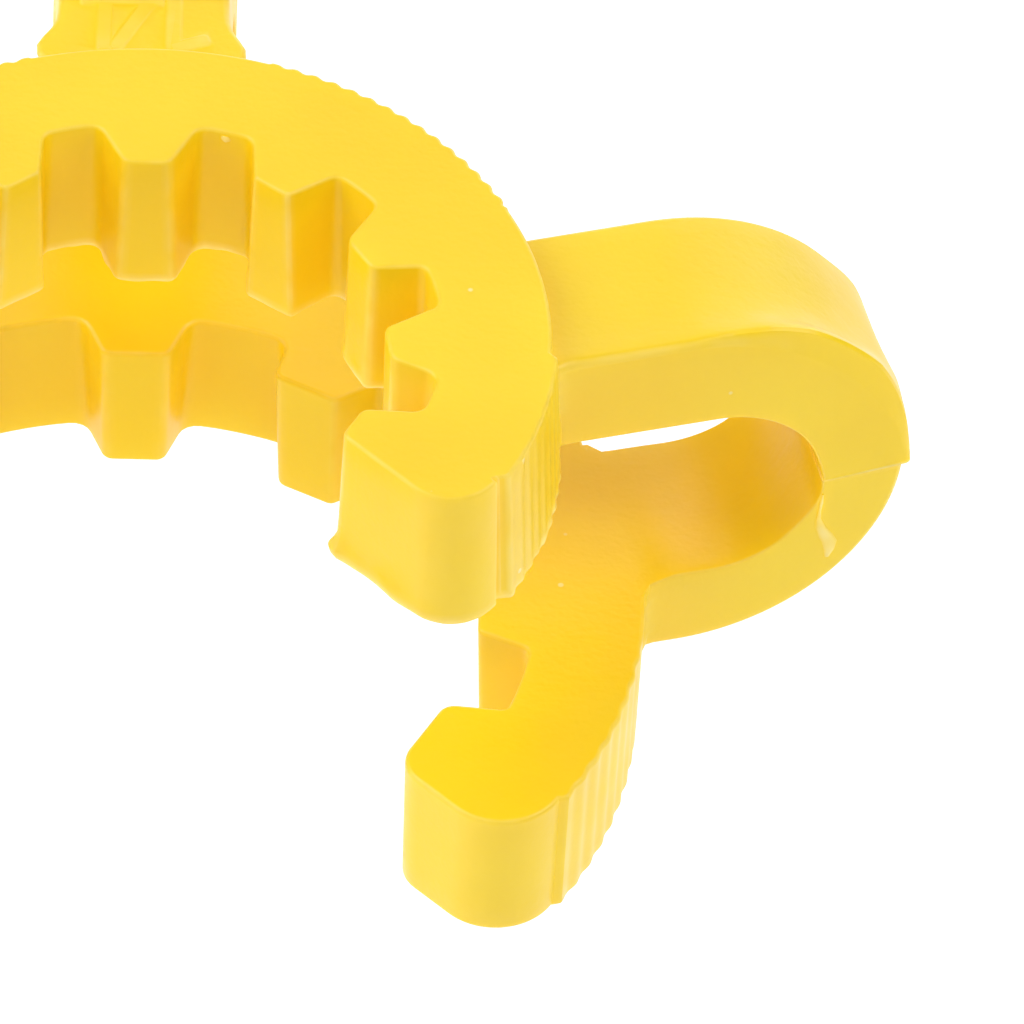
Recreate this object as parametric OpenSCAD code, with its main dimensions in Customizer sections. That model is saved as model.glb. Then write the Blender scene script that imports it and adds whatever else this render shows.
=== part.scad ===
// Ground glass joint clip: one moulding that goes over a conical joint and
// holds its two halves together. A small toothed C-ring grips the tube of the
// cone, a larger one grips the socket below its rim, and three spring bows join
// the rings. The rings share the Z axis, the mouth faces -Y, and the origin is
// on the axis at the underside of the lower ring.

/* [Upper ring] */
// Diameter across the tooth tips, on the tube of the cone
upper_grip_d = 12.5; // [11:0.1:14]
// Opening between the tooth tips at the mouth
upper_mouth_w = 10.3; // [9:0.1:10.8]
// Height of the upper ring
upper_h = 4.3; // [3.6:0.1:5.5]
// Depth of the notches between the teeth
upper_notch_depth = 1.38; // [0.8:0.02:2]
// Width of solid rim behind the notches
upper_rim_w = 2.92; // [2.2:0.02:3.4]
// Width of a tooth at its tip
upper_tip_w = 1.32; // [1:0.02:1.6]
// Width of a tooth where it leaves the rim
upper_root_w = 2.5; // [2:0.05:2.8]
// Radius of the rounded ends at the mouth
upper_lug_r = 1.35; // [0.8:0.05:1.6]
// Radius of the inner corners at the mouth
upper_nose_r = 0.3; // [0.1:0.05:0.5]

/* [Lower ring] */
// Diameter across the tooth tips, on the body of the socket
lower_grip_d = 18; // [16:0.1:20]
// Opening between the tooth tips at the mouth
lower_mouth_w = 13.9; // [12.5:0.1:14.5]
// Height of the lower ring
lower_h = 4; // [3.2:0.05:4.8]
// Depth of the notches between the teeth
lower_notch_depth = 1.36; // [0.8:0.02:2]
// Width of solid rim behind the notches
lower_rim_w = 2.64; // [2.2:0.02:3.2]
// Width of a tooth at its tip
lower_tip_w = 1.6; // [1.3:0.02:2.1]
// Width of a tooth where it leaves the rim
lower_root_w = 2.8; // [2.3:0.05:3.4]
// Radius of the rounded ends at the mouth
lower_lug_r = 1.65; // [1:0.05:1.9]
// Radius of the inner corners at the mouth
lower_nose_r = 0.5; // [0.1:0.05:0.7]

/* [Mouth] */
// Free height between the two rings, for the rim of the socket
ring_gap = 5.3; // [4.4:0.1:6.5]
// Lean of the mouth faces, away from the plane of symmetry
mouth_flare = 45; // [35:1:50]

/* [Spring bows] */
// Reach of the bows past the rim of the lower ring
bow_reach = 6.75; // [6:0.05:8]
// Width of a bow at the parting plane
bow_w = 5.15; // [4.2:0.05:5.6]
// Thickness of the upper strap
upper_strap_t = 2.7; // [2:0.05:2.9]
// Thickness of the lower strap
lower_strap_t = 2.25; // [1.8:0.05:2.6]
// Thickness of a bow at its tip
bow_tip_t = 2.3; // [1.8:0.05:2.8]
// Rise of the upper strap's underside above the upper ring's underside
strap_rise = 0.3; // [0.2:0.05:0.6]
// Length of the straight part of a strap past the rim of the lower ring
strap_straight = 0.85; // [0.4:0.05:1.4]
// Angle of the side bows behind the X axis
side_bow_angle = 15; // [12:1:18]

/* [Grip pads] */
// Stand-off of the pads beside the mouth
pad_rise = 0.18; // [0.05:0.01:0.3]
// Stand-off of the pads between the bows
back_pad_rise = 0.06; // [0.02:0.01:0.2]
// Depth of the grooves in the pads
groove_depth = 0.09; // [0.04:0.01:0.14]
// Width of a groove at the surface
groove_w = 0.3; // [0.16:0.02:0.4]
// Angle from groove to groove on the upper ring
upper_groove_step = 3; // [2.5:0.1:4]
// Angle from groove to groove on the lower ring
lower_groove_step = 3.4; // [2.5:0.1:4]

/* [Moulding] */
// Draft of the outer walls, away from the parting plane
draft = 2; // [0.5:0.5:3]

/* [Hidden] */

yellow = "#f7cf3c";
eps = 0.01;

tooth_step = 30;
upper_end_tooth = -30;
lower_end_tooth = -28;

upper_grip_r = upper_grip_d / 2;
lower_grip_r = lower_grip_d / 2;
upper_notch_r = upper_grip_r + upper_notch_depth;
lower_notch_r = lower_grip_r + lower_notch_depth;
upper_ring_r = upper_notch_r + upper_rim_w;
lower_ring_r = lower_notch_r + lower_rim_w;

upper_z = lower_h + ring_gap;
total_h = upper_z + upper_h;

window_low = lower_h;
window_high = upper_z + strap_rise;
bow_bottom = window_low - lower_strap_t;
bow_top = window_high + upper_strap_t;
bow_tip = lower_ring_r + bow_reach;
window_tip = bow_tip - bow_tip_t;
crown_x = lower_ring_r + strap_straight;
parting_z = (window_low + window_high) / 2 + strap_rise / 2;
root_depth = 0.8;

// Angles of the pads on the +X side, each from its front end to its back end,
// and the length of the plain stretch at the back of a front pad
upper_front_pad = [upper_end_tooth + 3, side_bow_angle - 17.5];
lower_front_pad = [lower_end_tooth - 2.5, side_bow_angle - 12];
back_pad = [side_bow_angle + 13, 72.5];
upper_pad_plain = 0;
lower_pad_plain = 9;

function polar(r, a) = [r * cos(a), r * sin(a)];

// Point where a mouth face meets the circle of the tooth tips
function mouth_point(grip_r, mouth_w) = [mouth_w / 2, -sqrt(pow(grip_r, 2) - pow(mouth_w / 2, 2))];

// Direction of a mouth face, outwards, and the direction from it into the solid
face_run = [sin(mouth_flare), -cos(mouth_flare)];
face_in = [cos(mouth_flare), sin(mouth_flare)];

// Centre of the rounding between a mouth face and a circle round the axis: the
// arc's centre is off from the face line and reach from the axis
function round_centre(off, reach) = off * face_in + sqrt(pow(reach, 2) - pow(off, 2)) * face_run;

// One shape on both sides of the plane of symmetry
module both_sides() {
    children();
    mirror([1, 0, 0]) children();
}

// Open wedge of the mouth
module mouth_plan(grip_r, mouth_w, far) {
    corner = mouth_point(grip_r, mouth_w);
    apex = [0, corner[1] + corner[0] / tan(mouth_flare)];
    polygon([apex, apex + far * face_run, apex + far * [-face_run[0], face_run[1]]]);
}

// What a rounding takes away between the mouth face and the direction side
module corner_waste(centre, r, side) {
    difference() {
        polygon([
            centre,
            centre - 2 * r * face_in,
            centre + 2 * r * (side - face_in),
            centre + 2 * r * side
        ]);
        translate(centre) circle(r = r, $fn = 64);
    }
}

// Waste at the rim end of a mouth face. A rounding crosses its two neighbours
// by eps, as surfaces that only touch would meet in no definite place
module lug_waste(grip_r, mouth_w, ring_r, lug_r) {
    off = mouth_point(grip_r, mouth_w) * face_in + lug_r - eps;
    centre = round_centre(off, ring_r - lug_r + eps);
    corner_waste(centre, lug_r, centre / norm(centre));
}

// Waste at the inner end of a mouth face
module nose_waste(grip_r, mouth_w, nose_r) {
    off = mouth_point(grip_r, mouth_w) * face_in + nose_r - eps;
    centre = round_centre(off, grip_r + nose_r - eps);
    corner_waste(centre, nose_r, -centre / norm(centre));
}

// Round body with its wide face at z = 0 and drafted walls
module drafted_disc(h, r) {
    cylinder(r1 = r, r2 = r - h * tan(draft), h = h, $fn = 240);
}

// Raised pad on a drafted wall, between two angles
module pad_body(h, r, span) {
    far = 2 * r;
    intersection() {
        drafted_disc(h, r);
        translate([0, 0, -1]) linear_extrude(height = h + 2)
            polygon([[0, 0], polar(far, span[0]), polar(far, (span[0] + span[1]) / 2), polar(far, span[1])]);
    }
}

// Row of V grooves that follow the draft of a pad
module grooves(h, r, span, step) {
    for (a = [span[0] + step / 2 : step : span[1] - step / 2])
        rotate(a) translate([r, 0, 0]) rotate([0, -draft, 0])
            translate([0, 0, -1]) linear_extrude(height = h + 2)
                polygon([[-groove_depth, 0], [groove_depth, groove_w], [groove_depth, -groove_w]]);
}

// Rim with its pads and grooves, before the bore and the mouth are cut
module rim(h, ring_r, pad, plain, step) {
    difference() {
        union() {
            drafted_disc(h, ring_r);
            both_sides() {
                pad_body(h, ring_r + pad_rise, pad);
                pad_body(h, ring_r + back_pad_rise, back_pad);
            }
        }
        both_sides() {
            grooves(h, ring_r + pad_rise, [pad[0], pad[1] - plain], step);
            grooves(h, ring_r + back_pad_rise, back_pad, step);
        }
    }
}

// Plan of one tooth, pointing along +X
module tooth_plan(grip_r, notch_r, tip_w, root_w) {
    polygon([
        [grip_r, -tip_w / 2], [notch_r, -root_w / 2], [notch_r + 0.5, -root_w / 2],
        [notch_r + 0.5, root_w / 2], [notch_r, root_w / 2], [grip_r, tip_w / 2], [0, 0]
    ]);
}

// Solid stretch between an end tooth and the mouth
module nose_plan(notch_r, end_tooth) {
    sweep = 25;
    polygon([[0, 0], polar(2 * notch_r, end_tooth), polar(2 * notch_r, end_tooth - sweep)]);
}

// All the teeth of a ring
module teeth_plan(grip_r, notch_r, tip_w, root_w, end_tooth) {
    for (a = [0 : tooth_step : 180])
        rotate(a) tooth_plan(grip_r, notch_r, tip_w, root_w);
    both_sides() {
        rotate(end_tooth) tooth_plan(grip_r, notch_r, tip_w, root_w);
        nose_plan(notch_r, end_tooth);
    }
}

// Everything that is open in the plan of a ring: the grip, the notches between
// the teeth, and the mouth with its roundings
module open_plan(grip_r, notch_r, ring_r, mouth_w, lug_r, nose_r, tip_w, root_w, end_tooth) {
    circle(r = grip_r, $fn = 180);
    difference() {
        circle(r = notch_r, $fn = 180);
        teeth_plan(grip_r, notch_r, tip_w, root_w, end_tooth);
    }
    mouth_plan(grip_r, mouth_w, 3 * ring_r);
    both_sides() {
        nose_waste(grip_r, mouth_w, nose_r);
        lug_waste(grip_r, mouth_w, ring_r, lug_r);
    }
}

// Each ring is made with its wide face at z = 0, towards the other ring
module upper_ring() {
    color(yellow) translate([0, 0, upper_z]) difference() {
        rim(upper_h, upper_ring_r, upper_front_pad, upper_pad_plain, upper_groove_step);
        translate([0, 0, -1]) linear_extrude(height = upper_h + 2) open_plan(
            grip_r = upper_grip_r, notch_r = upper_notch_r, ring_r = upper_ring_r,
            mouth_w = upper_mouth_w, lug_r = upper_lug_r, nose_r = upper_nose_r,
            tip_w = upper_tip_w, root_w = upper_root_w, end_tooth = upper_end_tooth
        );
    }
}

module lower_ring() {
    color(yellow) translate([0, 0, lower_h]) mirror([0, 0, 1]) difference() {
        rim(lower_h, lower_ring_r, lower_front_pad, lower_pad_plain, lower_groove_step);
        translate([0, 0, -1]) linear_extrude(height = lower_h + 2) open_plan(
            grip_r = lower_grip_r, notch_r = lower_notch_r, ring_r = lower_ring_r,
            mouth_w = lower_mouth_w, lug_r = lower_lug_r, nose_r = lower_nose_r,
            tip_w = lower_tip_w, root_w = lower_root_w, end_tooth = lower_end_tooth
        );
    }
}

// Quarter of a bow's outline, from its root to its tip, above the parting plane
module bow_quarter(root, crown_h) {
    run = bow_tip - crown_x;
    arc_r = (pow(run, 2) + pow(crown_h, 2)) / (2 * crown_h);
    translate([root, 0]) square([crown_x - root, crown_h]);
    intersection() {
        translate([crown_x, crown_h - arc_r]) circle(r = arc_r, $fn = 96);
        translate([crown_x - eps, 0]) square([2 * run, 2 * crown_h]);
    }
}

// Side view of a bow: distance from the axis along X, height along Y
module bow_profile() {
    window_r = (window_high - window_low) / 2;
    difference() {
        translate([0, parting_z]) {
            bow_quarter(upper_ring_r - root_depth, bow_top - parting_z);
            mirror([0, 1]) bow_quarter(lower_ring_r - root_depth, parting_z - bow_bottom);
        }
        translate([0, window_low]) square([window_tip - window_r, 2 * window_r]);
        translate([window_tip - window_r, window_low + window_r]) circle(r = window_r, $fn = 96);
    }
}

// Cross-section of the space that a bow fills, widest at the parting plane
module bow_section() {
    half = bow_w / 2;
    top_half = half - (bow_top - parting_z) * tan(draft);
    bottom_half = half - (parting_z - bow_bottom) * tan(draft);
    polygon([
        [half, parting_z], [top_half, bow_top], [-top_half, bow_top],
        [-half, parting_z], [-bottom_half, bow_bottom], [bottom_half, bow_bottom]
    ]);
}

// Spring bow that leaves the rings along +X
module bow() {
    intersection() {
        rotate([90, 0, 0]) linear_extrude(height = bow_w + 2, center = true) bow_profile();
        rotate([90, 0, 90]) linear_extrude(height = bow_tip + 1) bow_section();
    }
}

module spring_bows() {
    color(yellow)
        for (a = [side_bow_angle, 90, 180 - side_bow_angle])
            rotate(a) bow();
}

module clip() {
    upper_ring();
    lower_ring();
    spring_bows();
}

clip();
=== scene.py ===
"""Ground glass joint clip, dressed for rendering.

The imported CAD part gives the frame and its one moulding, the clip. This script
builds the same moulding again with the soft edges, draft, knurling, flash and
parting line that a moulded part has, gives it its plastic, and sets up a plain
white studio.

Lengths are in millimetres and become metres when a mesh is made, apart from
the lamps and the floor's size, which are given in metres. The Z axis is the
axis of the two rings, the mouth faces -Y, and the lower ring stands on z = 0.
"""

from __future__ import annotations

import logging
import math
import sys
from dataclasses import dataclass
from enum import Enum
from typing import Any

import bpy
import numpy as np
from mathutils import Matrix, Vector


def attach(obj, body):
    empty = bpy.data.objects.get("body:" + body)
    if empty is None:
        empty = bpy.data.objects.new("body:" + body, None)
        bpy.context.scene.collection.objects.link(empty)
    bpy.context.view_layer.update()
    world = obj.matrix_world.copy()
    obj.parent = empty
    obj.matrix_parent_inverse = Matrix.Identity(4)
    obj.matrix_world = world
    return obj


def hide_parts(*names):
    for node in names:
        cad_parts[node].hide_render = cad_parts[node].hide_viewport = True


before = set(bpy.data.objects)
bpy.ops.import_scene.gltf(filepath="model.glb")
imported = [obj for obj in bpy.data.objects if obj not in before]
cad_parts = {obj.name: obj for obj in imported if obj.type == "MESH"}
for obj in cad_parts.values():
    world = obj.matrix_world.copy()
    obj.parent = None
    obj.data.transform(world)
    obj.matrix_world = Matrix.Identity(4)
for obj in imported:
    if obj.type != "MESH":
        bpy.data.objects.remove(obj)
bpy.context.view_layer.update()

log = logging.getLogger("clip")

# Metres in a millimetre
MM = 0.001
# Distance in metres under which two points are made one
MERGE = 1e-6
# Attribute that says how pale a point is painted: flash and wear on edges, and a painted highlight on
# rounded edges and corners
RIM = "rim"
TAU = 2 * math.pi

Array = np.ndarray
Solid = bpy.types.Object
Tree = bpy.types.NodeTree
Socket = bpy.types.NodeSocket
# Corner of a path: x, y, the radius of its rounding, and the number of pieces after it
Corner = tuple[float, float, float, int]


class Half(Enum):
    """Half of the mould. Its value is the way that it reaches along Z."""

    UPPER = 1
    LOWER = -1


class MouthEnd(Enum):
    """End of a ring's mouth face."""

    TEETH = "teeth"
    RIM = "rim"


# Mesh helpers


def polar(radius: float, degrees: float) -> tuple[float, float]:
    """Point in plan at a radius and an angle from +X."""
    angle = math.radians(degrees)
    return radius * math.cos(angle), radius * math.sin(angle)


def ease(value: Array | float, start: float, stop: float) -> Array:
    """Smooth step from 0 at start to 1 at stop."""
    x = np.clip((np.asarray(value, float) - start) / (stop - start), 0, 1)
    return x * x * (3 - 2 * x)


def hump(value: Array | float, centre: float, width: float) -> Array:
    """Bell that is 1 at its centre and fades over its width."""
    return np.exp(-(((np.asarray(value, float) - centre) / width) ** 2))


def activate(obj: Solid) -> None:
    """Makes an object the only selected one, and the active one.

    Args:
        obj: The object.
    """
    bpy.ops.object.select_all(action="DESELECT")
    obj.select_set(True)
    bpy.context.view_layer.objects.active = obj


def skin(name: str, loops: Array, rim: Array) -> Solid:
    """Closed solid whose skin runs through a stack of closed loops.

    Args:
        name: Name of the new object.
        loops: Points in millimetres, as rows of loops with equal counts.
        rim: For each point how pale it is painted, 0 for none: flash and wear, and a painted highlight on
            the edge that it lies on.

    Returns:
        The new object, with both ends closed.
    """
    rows, count = loops.shape[:2]
    bpy.ops.object.select_all(action="DESELECT")
    bpy.ops.mesh.primitive_grid_add(x_subdivisions=count, y_subdivisions=rows - 1)
    obj = bpy.context.object
    obj.name = obj.data.name = name
    seamed = np.concatenate([loops, loops[:, :1]], axis=1)
    obj.data.vertices.foreach_set("co", (seamed * MM).ravel())
    sharp = obj.data.attributes.new(RIM, "FLOAT", "POINT")
    sharp.data.foreach_set("value", np.concatenate([rim, rim[:, :1]], axis=1).ravel())
    bpy.ops.object.mode_set(mode="EDIT")
    bpy.ops.mesh.select_all(action="SELECT")
    bpy.ops.mesh.remove_doubles(threshold=MERGE)
    bpy.ops.mesh.dissolve_degenerate(threshold=MERGE)
    bpy.ops.mesh.select_all(action="DESELECT")
    bpy.ops.mesh.select_mode(type="EDGE")
    bpy.ops.mesh.select_non_manifold()
    bpy.ops.mesh.fill_holes(sides=0)
    bpy.ops.mesh.select_all(action="SELECT")
    bpy.ops.mesh.normals_make_consistent(inside=False)
    bpy.ops.object.mode_set(mode="OBJECT")
    return obj


def fuse(body: Solid, others: list[Solid]) -> None:
    """Unites other solids with a body, and removes them.

    Args:
        body: The object that grows.
        others: The objects that go into it.
    """
    for other in others:
        activate(body)
        union = body.modifiers.new("union", "BOOLEAN")
        union.operation = "UNION"
        union.solver = "MANIFOLD"
        union.object = other
        bpy.ops.object.modifier_apply(modifier=union.name)
        bpy.data.objects.remove(other)


def filleted(corners: list[Corner]) -> list[tuple[float, float]]:
    """Path through corners, each rounded to its own radius.

    Args:
        corners: The corners. The last one's number of pieces isn't used.

    Returns:
        Points of the path, the same number for the same radii and numbers.
    """
    arc_steps = 4
    places = [Vector(c[:2]) for c in corners]
    spans = []
    for i, (place, corner) in enumerate(zip(places, corners)):
        if corner[2] == 0 or i in (0, len(places) - 1):
            spans.append([place])
            continue
        back = (places[i - 1] - place).normalized()
        ahead = (places[i + 1] - place).normalized()
        half = back.angle(ahead) / 2
        centre = place + (back + ahead).normalized() * corner[2] / math.sin(half)
        first = place + back * corner[2] / math.tan(half) - centre
        turn = first.angle_signed(place + ahead * corner[2] / math.tan(half) - centre)
        spans.append([
            centre + Matrix.Rotation(-turn * k / arc_steps, 2) @ first for k in range(arc_steps + 1)
        ])
    path = []
    for i, span in enumerate(spans):
        path += [tuple(p) for p in span]
        if i + 1 < len(spans):
            pieces = corners[i][3]
            path += [tuple(span[-1].lerp(spans[i + 1][0], k / pieces)) for k in range(1, pieces)]
    return path


def outward_normals(outline: Array) -> Array:
    """Offset directions of a closed outline, away from its inside.

    Args:
        outline: Points of the outline, in either order.

    Returns:
        For each point a direction, a little longer than 1 at a corner, so that
        the faces beside it move by 1.
    """
    ahead = np.roll(outline, -1, axis=0) - outline
    ahead /= np.linalg.norm(ahead, axis=1, keepdims=True)
    behind = np.roll(ahead, 1, axis=0)
    x, y = outline.T
    area = np.sum(x * np.roll(y, -1) - y * np.roll(x, -1))
    mean = ahead + behind
    mean /= np.linalg.norm(mean, axis=1, keepdims=True)
    normal = np.stack([mean[:, 1], -mean[:, 0]], axis=1) * np.sign(area)
    stretch = 1 / np.clip(np.sum(ahead * mean, axis=1, keepdims=True), 0.8, 1)
    return normal * stretch


def convexity(outline: Array) -> Array:
    """How sharply a closed outline turns outwards.

    Args:
        outline: Points of the outline, in either order.

    Returns:
        For each point 0 where it is flat or hollow, up to 1 on a tight corner.
    """
    # Radius in millimetres at which a corner counts in full
    full = 0.2
    ahead = np.roll(outline, -1, axis=0) - outline
    behind = outline - np.roll(outline, 1, axis=0)
    x, y = outline.T
    area = np.sum(x * np.roll(y, -1) - y * np.roll(x, -1))
    cross = behind[:, 0] * ahead[:, 1] - behind[:, 1] * ahead[:, 0]
    turn = np.arctan2(cross, np.sum(ahead * behind, axis=1)) * np.sign(area)
    length = (np.linalg.norm(ahead, axis=1) + np.linalg.norm(behind, axis=1)) / 2
    return np.clip(turn / length * full, 0, 1)


# The moulding


@dataclass(frozen=True)
class Pad:
    """Raised and grooved stretch of a ring's wall, between two angles in degrees.

    The grooves run from knurl_front to knurl_back, one each pitch, and one of
    the ridges lies at crest. The pad rises over its ramp, its grooves fade by
    their fade towards the narrow face, and a valley may run along its front.
    """

    front: float
    back: float
    rise: float
    knurl_front: float
    knurl_back: float
    pitch: float
    crest: float
    depth: float
    ramp: float = 0.5
    fade: float = 0
    valley: float = 0

    def relief(self, angle: Array, level: float) -> Array:
        """How far the wall stands off.

        Args:
            angle: Angles round the ring, in degrees.
            level: 0 at the wide face and 1 at the narrow one.

        Returns:
            The stand-off at each angle, in millimetres.
        """
        lift = ease(angle, self.front, self.front + self.ramp)
        lift *= 1 - ease(angle, self.back - self.ramp, self.back)
        cut = ease(angle, self.knurl_front - self.pitch / 4, self.knurl_front + self.pitch / 4)
        cut *= 1 - ease(angle, self.knurl_back - self.pitch, self.knurl_back)
        wave = 0.5 + 0.5 * np.cos(TAU * (angle - self.crest) / self.pitch)
        depth = self.depth * (1 - self.fade * level)
        valley = self.valley * hump(angle, self.front - 1, 0.7)
        return lift * (self.rise - depth * cut * (1 - wave)) - valley


@dataclass(frozen=True)
class Burr:
    """Bead of flash on a ring's wide edge: its place in plan, size and spread."""

    x: float
    y: float
    size: float
    spread: float


@dataclass(frozen=True)
class Tooth:
    """One tooth of a ring.

    A corner of the tip is given as its distance along the tooth's axis, its
    distance to the side, and its rounding. The ring's drafts widen the tip
    towards the wide face and draw it back towards the narrow one. The lean is
    how far, along and aside, the front corner is off at the wide face.
    """

    axis: float
    front: tuple[float, float, float]
    back: tuple[float, float, float]
    front_root_r: float
    back_root_r: float
    lean: tuple[float, float] = (0, 0)


@dataclass
class GripRing:
    """Toothed C-ring with a drafted, knurled rim and a flared mouth.

    Its wide face lies at wide_z, towards the other ring, and it narrows over
    its height. The radii of the rim and the notches are those at the wide face.
    The fields wide_edge_flash_and_highlight, narrow_edge_highlight, corner_highlight and
    wall_flash_and_highlight say how strongly the two edges, the upright corners and the wall beside the
    wide edge are
    painted pale: a painted highlight, which on the wide edge and the wall beside
    it is also the paleness of flash.
    """

    name: str
    half: Half
    wide_z: float
    height: float
    grip_r: float
    notch_r: float
    rim_r: float
    mouth_half: float
    lug_r: float
    nose_r: float
    end_grip_r: float
    root_angle: float
    end_root_angle: float
    end_tip_angle: float
    end_root_r: float
    end_tip_r: float
    teeth: tuple[Tooth, ...]
    tooth_draft: float
    front_pad: Pad
    back_pad: Pad
    shift_x: float = 0
    edge_r: float = 0.12
    mouth_draft: float = 0
    tip_draft: float = 0
    notch_draft: float = 0
    root_taper: float = 0
    # How strongly each is painted pale, a painted highlight, with flash on the wide edge and the wall
    wide_edge_flash_and_highlight: float = 1
    narrow_edge_highlight: float = 0.35
    corner_highlight: float = 0.5
    wall_flash_and_highlight: float = 0
    flash: float = 0
    burrs: tuple[Burr, ...] = ()
    # Middle height above the wide face, and spread, of the flash and of its beads
    flash_band: tuple[float, float] = (0.02, 0.09)
    burr_band: tuple[float, float] = (0.3, 0.25)
    # Height above the wide face up to which the wall beside it is painted pale, for flash and as a painted
    # highlight
    pale_wall: float = 0.3
    strap_angles: tuple[float, ...] = ()
    strap_half: float = 0
    draft: float = 2
    flare: float = 45

    def mouth_frame(self) -> tuple[Vector, Vector, float]:
        """Lie of the mouth face.

        Returns:
            Its run outwards, the direction from it into the ring, and its
            distance from the axis along that direction.
        """
        flare = math.radians(self.flare)
        run = Vector((math.sin(flare), -math.cos(flare)))
        inward = Vector((math.cos(flare), math.sin(flare)))
        corner = Vector((self.mouth_half, -math.sqrt(self.grip_r**2 - self.mouth_half**2)))
        return run, inward, corner.dot(inward)

    def rounding(self, rim_r: float, level: float, end: MouthEnd) -> list[tuple[float, float]]:
        """Points round one end of the mouth face.

        Args:
            rim_r: Radius of the rim at this level.
            level: 0 at the wide face and 1 at the narrow one.
            end: Which end of the face.

        Returns:
            Points of the arc, in the order of the outline.
        """
        run, inward, face = self.mouth_frame()
        inner = end is MouthEnd.TEETH
        radius = self.nose_r if inner else self.lug_r
        taper = self.mouth_draft * (1 - level)
        reach = self.end_grip_r - taper + radius if inner else rim_r - radius
        off = face - taper + radius
        centre = inward * off + run * math.sqrt(reach**2 - off**2)
        radial = math.degrees(math.atan2(centre.y, centre.x))
        start, stop = (self.flare - 180, radial - 180) if inner else (radial, self.flare - 180)
        steps = 10 if inner else 22
        return [
            tuple(centre + Vector(polar(radius, start + (stop - start) * k / steps)))
            for k in range(steps + 1)
        ]

    def wall_angles(self, lug_angle: float) -> Array:
        """Angles of the wall's points, from the back to the lug.

        Args:
            lug_angle: Angle at which the lug's rounding starts, in degrees.

        Returns:
            The angles, in degrees, the same number for every level.
        """
        knurl_steps = 8
        lug_steps = 12
        plain_step = 1.2
        # The close steps of a pad start this many degrees beside it
        beside = 1
        zones = [
            (90, self.back_pad.back + beside, plain_step),
            (self.back_pad.back + beside, self.back_pad.front - beside, self.back_pad.pitch / knurl_steps),
            (self.back_pad.front - beside, self.front_pad.back + beside, plain_step),
            (self.front_pad.back + beside, self.front_pad.front, self.front_pad.pitch / knurl_steps),
        ]
        runs = [
            np.linspace(start, stop, round((start - stop) / step), endpoint=False)
            for start, stop, step in zones
        ]
        runs.append(np.linspace(self.front_pad.front, lug_angle, lug_steps, endpoint=False))
        return np.concatenate(runs)

    def tooth_corners(self, tooth: Tooth, level: float) -> list[Corner]:
        """Corners of one tooth, from its front root to its back root.

        Args:
            tooth: The tooth.
            level: 0 at the wide face and 1 at the narrow one.

        Returns:
            The two roots and, between them, the two corners of the tip.
        """
        turn = Matrix.Rotation(math.radians(tooth.axis), 2)
        spread = self.tooth_draft * (1 - level)
        tips = []
        for (along, aside, radius), sign, lean in (
            (tooth.front, -1, Vector(tooth.lean) * (1 - level)),
            (tooth.back, 1, Vector((0, 0))),
        ):
            tip = turn @ (Vector((along + self.tip_draft * level, aside + sign * spread)) + lean)
            tips.append((*tip, radius))
        notch_r = self.notch_r + self.notch_draft * level
        root_angle = self.root_angle - self.root_taper * level
        front = polar(notch_r, tooth.axis - root_angle)
        back = polar(notch_r, tooth.axis + root_angle)
        return [
            (*front, tooth.front_root_r, 9),
            (*tips[0], 8),
            (*tips[1], 9),
            (*back, tooth.back_root_r, 1),
        ]

    def notch_wall(self, start: float, stop: float, level: float) -> list[Corner]:
        """Points of a notch's curved wall.

        Args:
            start: Angle of the root at its front end, in degrees.
            stop: Angle of the root at its back end, in degrees.
            level: 0 at the wide face and 1 at the narrow one.

        Returns:
            The points between the two roots, clear of their roundings.
        """
        steps = 8
        margin = 3.4
        return [
            (*polar(self.notch_r + self.notch_draft * level, angle), 0, 1)
            for angle in np.linspace(start + margin, stop - margin, steps)
        ]

    def outline(self, level: float) -> Array:
        """Closed outline in plan.

        Args:
            level: 0 at the wide face and 1 at the narrow one.

        Returns:
            Points from the back, round the right half and back round the left,
            which mirrors it. Their number is the same for every level.
        """
        rim_r = self.rim_r - self.height * level * math.tan(math.radians(self.draft))
        lug = self.rounding(rim_r, level, MouthEnd.RIM)
        angles = self.wall_angles(math.degrees(math.atan2(lug[0][1], lug[0][0])))
        radii = rim_r + self.front_pad.relief(angles, level) + self.back_pad.relief(angles, level)
        wall = [polar(r, a) for r, a in zip(radii, angles)]
        nose = self.rounding(rim_r, level, MouthEnd.TEETH)
        steps = 16
        face = [tuple(Vector(lug[-1]).lerp(Vector(nose[0]), k / steps)) for k in range(1, steps)]
        end_r = self.end_grip_r - self.mouth_draft * (1 - level)
        teeth = [(*nose[-1], 0, 6)]
        teeth.append((*polar(end_r, self.end_tip_angle), self.end_tip_r, 9))
        teeth.append((*polar(self.notch_r, self.end_root_angle), self.end_root_r, 1))
        last = self.end_root_angle
        for tooth in self.teeth:
            teeth += self.notch_wall(last, tooth.axis - self.root_angle, level)
            teeth += self.tooth_corners(tooth, level)
            last = tooth.axis + self.root_angle
        # The last tooth lies on the plane of symmetry, so only its front half is kept
        teeth = teeth[:-2] + [(0, self.teeth[-1].back[0] + self.tip_draft * level, 0, 1)]
        teeth[-2] = (*teeth[-2][:3], 4)
        right = wall + lug + face + nose[:-1] + filleted(teeth)
        left = [(-x, y) for x, y in right[-2:0:-1]]
        return np.array(right + left)

    def edge_radii(self, plan: Array) -> Array:
        """Rounding of the wide edge, none where a strap runs on from the face.

        Args:
            plan: Points of the outline.

        Returns:
            The radius at each point, in millimetres.
        """
        radii = np.full(len(plan), self.edge_r)
        outer = np.hypot(*plan.T) > (self.notch_r + self.rim_r) / 2
        # Where the rounding starts and is full, from the middle of the strap
        start, full = self.strap_half + 0.05, self.strap_half + 0.4
        for angle in self.strap_angles:
            along = plan @ np.array(polar(1, angle))
            across = np.abs(plan @ np.array(polar(1, angle + 90)))
            inside = (along > 0) & outer
            radii = np.where(inside, radii * ease(across, start, full), radii)
        return radii

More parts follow.
